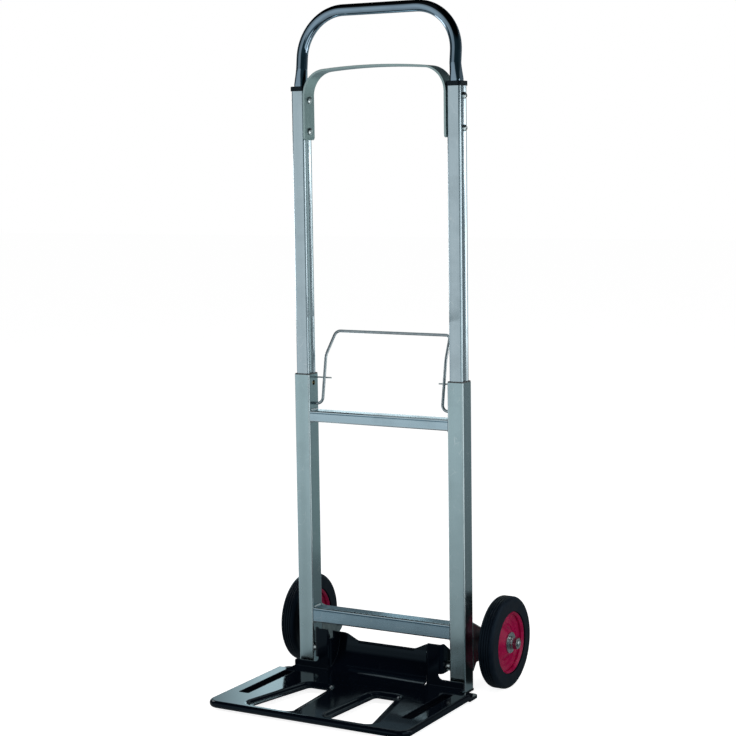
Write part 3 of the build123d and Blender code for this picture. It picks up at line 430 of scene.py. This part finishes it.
def weld_finish(name, dark, light):
    """Bare weld metal, a little frosted."""
    frost_size = 0.0025
    finish, tree, shader = new_finish(name)
    cloud = mottle(tree, frost_size)
    plug(shader, {"Base Color": clouded(tree, cloud, dark, light), "Metallic": 1.0,
                  "Roughness": uneven(tree, cloud, 0.30, 0.50)})
    return finish


bead_radius = 0.0017
top_left_corner = (-0.1268, 0.0475, 0.4476)
to_right_end = 0.2536
down_to_edges = (0.0, -0.0197, -0.3315, -0.3578)
along_y = (math.radians(-90), 0, 0)
bar_bead = weld_bead("bar_weld_0", top_left_corner, along_y, step=(0, 0.0026, 0), radius=bead_radius,
                     scales=7)
beads = [bar_bead]
shifts = [(side, 0, height) for side in (0, to_right_end) for height in down_to_edges]
for number, shift in enumerate(shifts[1:], 1):
    beads.append(copied(bar_bead, "bar_weld_%d" % number, shift))
bead_metal = weld_finish("bar_weld", dark=(0.40, 0.46, 0.48, 1), light=(0.56, 0.61, 0.62, 1))
for bead in beads:
    bead.data.materials.append(bead_metal)
    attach(bead, "frame")

# Guide bushes: plastic mouthpieces pressed into the tops of the outer tubes, in which the inner tubes slide.
# They are moulded in dark grey with a fine grain, and their edges are softly rounded.
# Besides the rounded normal, the edge group gives a mask along the edges, on which several finishes below lay
# a painted highlight.
edge_patch = 0.04
rounded_highlit_edges, given, results = new_effect("rounded_highlit_edges", [("Round", "Float", 0.001)],
                                          [("Edge Highlight", "Float"), ("Normal", "Vector")])
soft = place(rounded_highlit_edges, "Bevel", {"Radius": given["Round"]}, samples=6).outputs[0]
flat = place(rounded_highlit_edges, "NewGeometry").outputs["Normal"]
agree = place(rounded_highlit_edges, "VectorMath", {0: soft, 1: flat}, operation="DOT_PRODUCT").outputs["Value"]
turn = spread(rounded_highlit_edges, agree, 0.75, 0.99, 1.0, 0.0)
patches = spread(rounded_highlit_edges, mottle(rounded_highlit_edges, edge_patch, detail=2.0), 0.35, 0.6, 0.55, 1.0)
plug(results, {"Edge Highlight": work_out(rounded_highlit_edges, "MULTIPLY", turn, patches), "Normal": soft})


def grained(tree, edges, size, strength, depth):
    """A fine grain over rounded edges."""
    return bumped(tree, mottle(tree, size), strength, depth, edges["Normal"])


bush_dark, bush_light = (0.060, 0.068, 0.070, 1), (0.090, 0.100, 0.102, 1)
finish, tree, shader = new_finish("grey_bush_plastic")
edges = effect(tree, rounded_highlit_edges, Round=0.0006)
cloud = mottle(tree, 0.004)
plug(shader, {"Base Color": tint(tree, cloud, bush_dark, bush_light),
              "Roughness": spread(tree, cloud, 0.2, 0.8, 0.42, 0.6),
              "Normal": grained(tree, edges, size=0.0006, strength=0.12, depth=0.0002)})
dress(finish, "guide_bush_left", "guide_bush_right")

# Black plastic: the plugs in the feet of the tubes, the sliders in the inner tubes, the collars under the
# handle and the bushes in the hubs. All are moulded with a fine grain, and their edges carry a faint painted
# highlight.
moulding_black, moulding_edge_highlight = (0.0025, 0.0035, 0.0050, 1), (0.010, 0.013, 0.016, 1)
cool_sheen = (0.55, 0.82, 1.0, 1)
finish, tree, shader = new_finish("black_moulding")
edges = effect(tree, rounded_highlit_edges, Round=0.0009)
cloud = mottle(tree, 0.006)
plug(shader, {"Base Color": tint(tree, edges["Edge Highlight"], moulding_black, moulding_edge_highlight),
              "Roughness": spread(tree, cloud, 0.2, 0.8, 0.22, 0.34),
              "Specular IOR Level": 0.18, "Specular Tint": cool_sheen,
              "Normal": grained(tree, edges, size=0.0007, strength=0.10, depth=0.0002)})
dress(finish, "foot_plug_left", "foot_plug_right", "slider_plug_left", "slider_plug_right", "end_collar_left",
      "end_collar_right", "wheel_bush_left", "wheel_bush_right")

# Wheel brackets: pressed steel channels behind the feet of the tubes, plated with dull zinc.
# Two long seams and a short bead across the top weld each one to its tube.
bracket_dark, bracket_light = (0.20, 0.245, 0.25, 1), (0.29, 0.34, 0.34, 1)
bracket_edge_highlight = (0.5, 0.55, 0.55, 1)
finish, tree, shader = new_finish("bracket_zinc")
edges = effect(tree, rounded_highlit_edges, Round=0.0010)
cloud = mottle(tree, 0.009, detail=4.0)
colour = clouded(tree, cloud, bracket_dark, bracket_light)
# Painted highlight: a pale colour laid along the edges.
colour = laid_on(tree, colour, edges["Edge Highlight"], 0.4, bracket_edge_highlight)
plug(shader, {"Base Color": colour, "Metallic": 1.0, "Roughness": uneven(tree, cloud, 0.3, 0.46),
              "Normal": grained(tree, edges, size=0.0015, strength=0.08, depth=0.0003)})
dress(finish, "wheel_bracket_left", "wheel_bracket_right")

seam_foot, cap_end = (-0.1547, 0.0735, 0.040), (-0.1500, 0.0741, 0.1186)
cap_radius = 0.0018
to_inner_edge, to_right_bracket, to_right_cap = 0.0264, 0.2830, 0.2820
upright, along_x = (0, 0, 0), (0, math.radians(90), 0)
seam = weld_bead("bracket_weld_0", seam_foot, upright, step=(0, 0, 0.0036), radius=bead_radius, scales=21)
cap = weld_bead("bracket_weld_4", cap_end, along_x, step=(0.0030, 0, 0), radius=cap_radius, scales=6)
beads = [seam, cap,
         copied(seam, "bracket_weld_1", (to_inner_edge, 0, 0)),
         copied(seam, "bracket_weld_2", (to_right_bracket, 0, 0)),
         copied(seam, "bracket_weld_3", (to_right_bracket + to_inner_edge, 0, 0)),
         copied(cap, "bracket_weld_5", (to_right_cap, 0, 0))]
bead_metal = weld_finish("bracket_weld", dark=(0.26, 0.30, 0.31, 1), light=(0.40, 0.45, 0.46, 1))
for bead in beads:
    bead.data.materials.append(bead_metal)
    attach(bead, "frame")

# Bolts, nuts, washers, hubs, rivets and pins: turned and cold-formed steel.
# All are bright zinc plated, with a faint mottle and a painted highlight along the edges.
zinc_dark, zinc_light, zinc_edge_highlight = (0.36, 0.41, 0.42, 1), (0.50, 0.55, 0.55, 1), (0.75, 0.78, 0.78, 1)
finish, tree, shader = new_finish("bright_zinc")
edges = effect(tree, rounded_highlit_edges, Round=0.0006)
cloud = mottle(tree, 0.004, detail=4.0)
colour = clouded(tree, cloud, zinc_dark, zinc_light)
colour = laid_on(tree, colour, edges["Edge Highlight"], 0.5, zinc_edge_highlight)
plug(shader, {"Base Color": colour, "Metallic": 1.0, "Roughness": uneven(tree, cloud, 0.18, 0.34),
              "Normal": grained(tree, edges, size=0.0008, strength=0.06, depth=0.0002)})
dress(finish, "axle_bolt_left", "axle_bolt_right", "axle_spacers", "axle_washers", "axle_nuts", "hub_left",
      "hub_right", "strap_bolts", "strap_nuts", "toe_pivot_rivets", "toe_pivot_spacers", "bail_stop_pins")

# Tyres: solid black rubber, moulded with fine grooves round the tread and held between the rim's two discs.
# The mould leaves a matt skin that is a little uneven.
rubber_dark, rubber_light = (0.0022, 0.0044, 0.0092, 1), (0.0042, 0.0074, 0.0132, 1)
finish, tree, shader = new_finish("tyre_rubber")
cloud = mottle(tree, 0.012, detail=4.0)
edges = effect(tree, rounded_highlit_edges, Round=0.0007)
plug(shader, {"Base Color": tint(tree, spread(tree, cloud, 0.35, 0.7), rubber_dark, rubber_light),
              "Roughness": uneven(tree, cloud, 0.42, 0.62),
              "Specular IOR Level": 0.16, "Specular Tint": cool_sheen,
              "Normal": grained(tree, edges, size=0.0012, strength=0.2, depth=0.0003)})
dress(finish, "tyre_left", "tyre_right")

# Rims: two pressed steel discs to each wheel, set face to face round the hub.
# They are enamelled red, with a pale pink painted highlight along the edges.
red_dark, red_light, red_edge_highlight = (0.36, 0.0010, 0.060, 1), (0.42, 0.0018, 0.072, 1), (0.70, 0.22, 0.30, 1)
finish, tree, shader = new_finish("red_enamel")
cloud = mottle(tree, 0.015)
edges = effect(tree, rounded_highlit_edges, Round=0.0008)
colour = clouded(tree, cloud, red_dark, red_light)
colour = laid_on(tree, colour, edges["Edge Highlight"], 0.45, red_edge_highlight)
plug(shader, {"Base Color": colour, "Roughness": uneven(tree, cloud, 0.2, 0.3), "Specular IOR Level": 0.22,
              "Normal": grained(tree, edges, size=0.003, strength=0.05, depth=0.0004)})
dress(finish, "rim_outer_left", "rim_outer_right", "rim_inner_left", "rim_inner_right")

# Toe plate: one steel pressing with a rolled rim, cut-outs, slots and a folded back wall, on two hinge rivets.
# It is dipped in gloss black enamel that shows a faint orange peel and hair scratches, with a painted
# highlight along the edges.
enamel_black, enamel_scratch = (0.0018, 0.0034, 0.0070, 1), (0.010, 0.013, 0.018, 1)
enamel_edge_highlight = (0.040, 0.050, 0.062, 1)
finish, tree, shader = new_finish("black_enamel")
cloud = mottle(tree, 0.03, detail=4.0)
marks = effect(tree, handled, Scratches=0.4)
edges = effect(tree, rounded_highlit_edges, Round=0.0016)
colour = tint(tree, marks["Scratch"], enamel_black, enamel_scratch)
colour = laid_on(tree, colour, edges["Edge Highlight"], 0.5, enamel_edge_highlight)
plug(shader, {"Base Color": colour, "Roughness": uneven(tree, cloud, 0.07, 0.12),
              "Specular IOR Level": 0.15, "Specular Tint": cool_sheen,
              "Normal": grained(tree, edges, size=0.004, strength=0.05, depth=0.0004)})
dress(finish, "toe_plate")

# Inner tubes: lighter grooved bars of drawn aluminium that slide in the outer tubes and carry the handle.
# Their anodised skin is brighter than that of the outer tubes, with the same lines along it.
# The inset sets how far in from the corners the painted highlight reaches.
corner_highlight_inset = 0.0004
dress(aluminium("slide_aluminium", along=2, across=sides_of("inner_tube_right", (0, 1), corner_highlight_inset),
                corner=1.95, dark=(0.340, 0.418, 0.455, 1), light=(0.378, 0.456, 0.494, 1), rough=0.15),
      "inner_tube_left", "inner_tube_right")

# Lock buttons: turned brass buttons in the feet of the inner tubes, sprung out to the holes in the outer ones.
# The brass is bare and a little clouded.
brass_dark, brass_light = (0.42, 0.28, 0.12, 1), (0.62, 0.46, 0.24, 1)
finish, tree, shader = new_finish("lock_brass")
cloud = mottle(tree, 0.003)
plug(shader, {"Base Color": tint(tree, cloud, brass_dark, brass_light), "Metallic": 1.0,
              "Roughness": uneven(tree, cloud, 0.22, 0.36)})
dress(finish, "lock_button_left", "lock_button_right")

# Lock springs: a hairpin of spring steel strip behind each button, with one leg on the inner tube's far wall.
# The near leg gives way with the button when it is pressed, so the hairpin closes by the button's travel.
merged_within = 0.000001
spring_dark, spring_light = (0.20, 0.22, 0.24, 1), (0.34, 0.36, 0.38, 1)
spring_steel, tree, shader = new_finish("spring_steel")
cloud = mottle(tree, 0.003)
plug(shader, {"Base Color": tint(tree, cloud, spring_dark, spring_light), "Metallic": 1.0,
              "Roughness": uneven(tree, cloud, 0.24, 0.36)})
for side in ("left", "right"):
    spring = copied(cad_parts["lock_spring_" + side], "hairpin_spring_" + side, (0, 0, 0))
    bpy.ops.object.mode_set(mode="EDIT")
    bpy.ops.mesh.select_all(action="SELECT")
    bpy.ops.mesh.remove_doubles(threshold=merged_within)
    bpy.ops.object.mode_set(mode="OBJECT")
    spring.data.materials.clear()
    spring.data.materials.append(spring_steel)
    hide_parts("lock_spring_" + side)
    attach(spring, "handle")
    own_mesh(spring)

# Handle: a steel tube bent to a loop, with its ends in the collars on the inner tubes.
# It is polished and dark chrome plated, with faint smudges from hands.
chrome_clean, chrome_smudged = (0.195, 0.268, 0.330, 1), (0.170, 0.234, 0.290, 1)
finish, tree, shader = new_finish("dark_chrome")
marks = effect(tree, handled)
plug(shader, {"Base Color": tint(tree, marks["Smudge"], chrome_clean, chrome_smudged), "Metallic": 1.0,
              "Roughness": spread(tree, marks["Smudge"], 0.0, 1.0, 0.025, 0.06)})
dress(finish, "handle_loop")

# Strap: flat steel bent to an arch and bolted across the inner tubes below the handle.
# It is plated dull grey, with faint lines along it from rolling and a painted highlight along the edges.
strap_dark, strap_light, strap_edge_highlight = (0.24, 0.325, 0.325, 1), (0.29, 0.38, 0.38, 1), (0.62, 0.66, 0.66, 1)
finish, tree, shader = new_finish("strap_grey")
lines = effect(tree, drawn_lines, Stretch=(0.02, 1, 0.02))
edges = effect(tree, rounded_highlit_edges, Round=0.0008)
colour = tint(tree, spread(tree, lines["Broad"], 0.3, 0.7), strap_dark, strap_light)
colour = laid_on(tree, colour, edges["Edge Highlight"], 0.45, strap_edge_highlight)
plug(shader, {"Base Color": colour, "Metallic": 1.0,
              "Roughness": spread(tree, lines["Lines"], 0.2, 0.8, 0.28, 0.42),
              "Normal": bumped(tree, lines["Lines"], strength=0.05, depth=0.0003, normal=edges["Normal"])})
dress(finish, "handle_strap")

# Bail: one bent steel wire, hooked into the inner walls of the outer tubes, that leans back on two stop pins.
# It is zinc plated and a little clouded.
wire_dark, wire_light = (0.26, 0.30, 0.32, 1), (0.36, 0.41, 0.43, 1)
finish, tree, shader = new_finish("wire_zinc")
cloud = mottle(tree, 0.004, detail=4.0)
plug(shader, {"Base Color": clouded(tree, cloud, wire_dark, wire_light), "Metallic": 1.0,
              "Roughness": uneven(tree, cloud, 0.16, 0.3)})
dress(finish, "bail")
